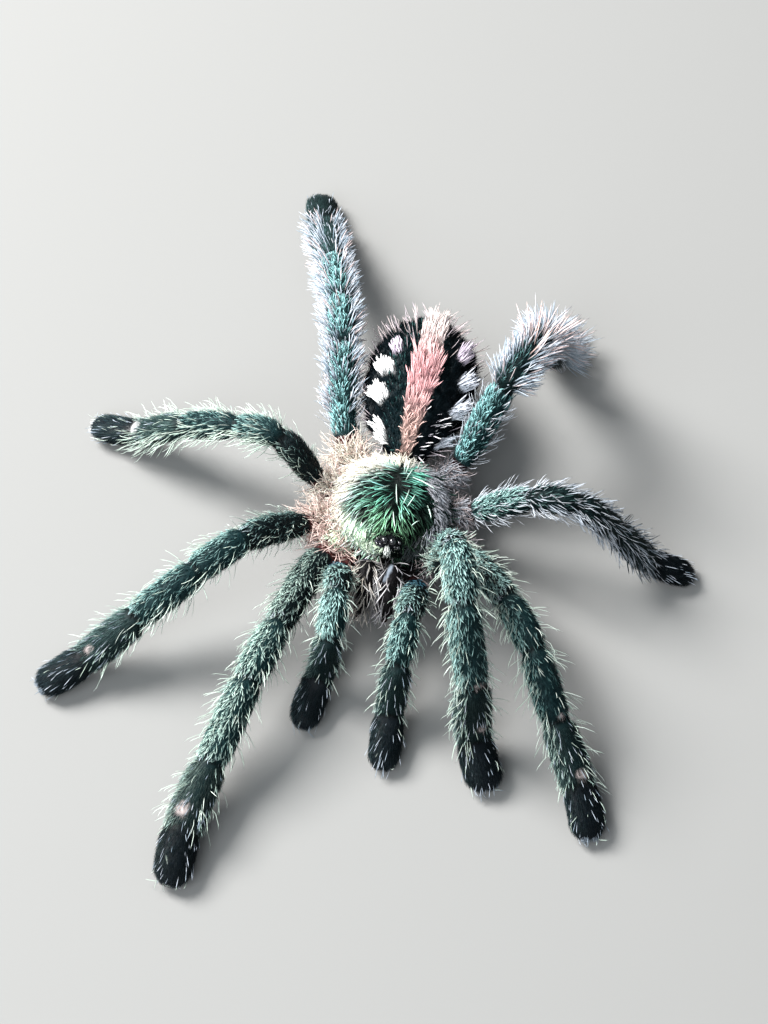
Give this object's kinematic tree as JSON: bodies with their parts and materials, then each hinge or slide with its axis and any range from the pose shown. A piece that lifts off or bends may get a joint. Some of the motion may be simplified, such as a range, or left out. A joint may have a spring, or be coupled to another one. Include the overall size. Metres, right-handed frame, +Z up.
{
  "type": "pink toe tarantula model",
  "caption": "Still, life-size model of a young pink toe tarantula with splayed furry legs, teal and green coat and a striped hind body; it stands on flat soles",
  "frame": {"origin": "on the floor, under the middle of the model's box", "axes": "+Z up, head towards -Y, the animal's left towards +X; the longest extent is along Y"},
  "size_m": [0.0406, 0.053, 0.0114],
  "materials": {
    "shield": "short shining green hairs that lie outwards from the middle of the back, with a cream fringe",
    "underside": "dark rose skin under woolly pale pink hair",
    "hind_body": "black velvet with a salmon stripe of long lying hairs and white tufts down both sides",
    "legs": "dense short teal hairs with a metallic glint and long pale bristles",
    "feet": "dense slate-blue brush, pale pink at the joint over it",
    "jaws": "dark, with long pinkish grey hairs",
    "fangs": "polished black-brown horn",
    "eyes": "wet black beads on a low mound"
  },
  "bodies": {
    "root": {"carapace": "shield", "eye_mound": "eyes", "underbody": "underside", "waist": "hind_body", "abdomen": "hind_body", "chelicera_left": "jaws", "fang_left": "fangs", "spinneret_left": "hind_body", "chelicera_right": "jaws", "fang_right": "fangs", "spinneret_right": "hind_body", "leg_1_left_femur": "legs", "leg_1_left_patella": "legs", "leg_1_left_tibia": "legs", "leg_1_left_metatarsus": "feet", "leg_1_left_tarsus": "feet", "leg_1_right_femur": "legs", "leg_1_right_patella": "legs", "leg_1_right_tibia": "legs", "leg_1_right_metatarsus": "feet", "leg_1_right_tarsus": "feet", "leg_2_left_femur": "legs", "leg_2_left_patella": "legs", "leg_2_left_tibia": "legs", "leg_2_left_metatarsus": "feet", "leg_2_left_tarsus": "feet", "leg_2_right_femur": "legs", "leg_2_right_patella": "legs", "leg_2_right_tibia": "legs", "leg_2_right_metatarsus": "feet", "leg_2_right_tarsus": "feet", "leg_3_left_femur": "legs", "leg_3_left_patella": "legs", "leg_3_left_tibia": "legs", "leg_3_left_metatarsus": "feet", "leg_3_left_tarsus": "feet", "leg_3_right_femur": "legs", "leg_3_right_patella": "legs", "leg_3_right_tibia": "legs", "leg_3_right_metatarsus": "feet", "leg_3_right_tarsus": "feet", "leg_4_left_femur": "legs", "leg_4_left_patella": "legs", "leg_4_left_tibia": "legs", "leg_4_left_metatarsus": "feet", "leg_4_left_tarsus": "feet", "leg_4_right_femur": "legs", "leg_4_right_patella": "legs", "leg_4_right_tibia": "legs", "leg_4_right_metatarsus": "feet", "leg_4_right_tarsus": "feet", "pedipalp_left_femur": "legs", "pedipalp_left_patella": "legs", "pedipalp_left_tibia": "legs", "pedipalp_left_tarsus": "feet", "pedipalp_right_femur": "legs", "pedipalp_right_patella": "legs", "pedipalp_right_tibia": "legs", "pedipalp_right_tarsus": "feet"}
  },
  "joints": []
}
